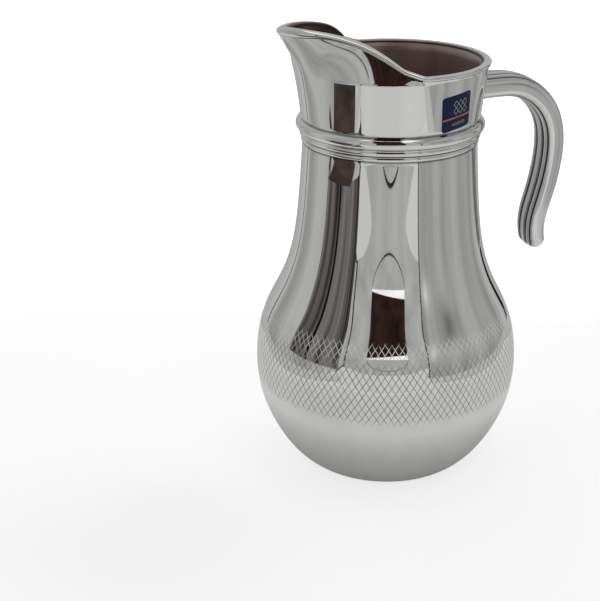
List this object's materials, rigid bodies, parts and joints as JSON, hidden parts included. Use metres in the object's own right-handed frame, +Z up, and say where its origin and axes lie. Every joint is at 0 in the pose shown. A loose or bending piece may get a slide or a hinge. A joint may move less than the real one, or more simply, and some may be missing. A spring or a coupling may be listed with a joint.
{
  "type": "silver plated glass water pitcher",
  "caption": "Tall water pitcher of blown glass, mirror plated outside and lacquered brown inside, with a pouring lip, a cut lattice band and an open ribbed handle.",
  "frame": {"origin": "centre of the ring that the pitcher stands on, on the axis of its body", "axes": "+Z up along the body's axis, -X towards the spout, +X towards the handle; right-handed, so +Y is on the left of a person who looks from the handle towards the spout"},
  "size_m": [0.1749, 0.147, 0.248],
  "materials": {
    "clear_glass": "polished",
    "silver_plate": "polished",
    "cut_silver": "gloss",
    "brown_lacquer": "satin",
    "label_foil": "gloss"
  },
  "bodies": {
    "root": {"glass_body": "clear_glass", "glass_handle": "clear_glass", "silver_lower_coat": "silver_plate", "silver_cut_band": "cut_silver", "silver_upper_coat": "silver_plate", "silver_handle_coat": "silver_plate", "inner_coat": "brown_lacquer", "label": "label_foil"}
  },
  "joints": []
}
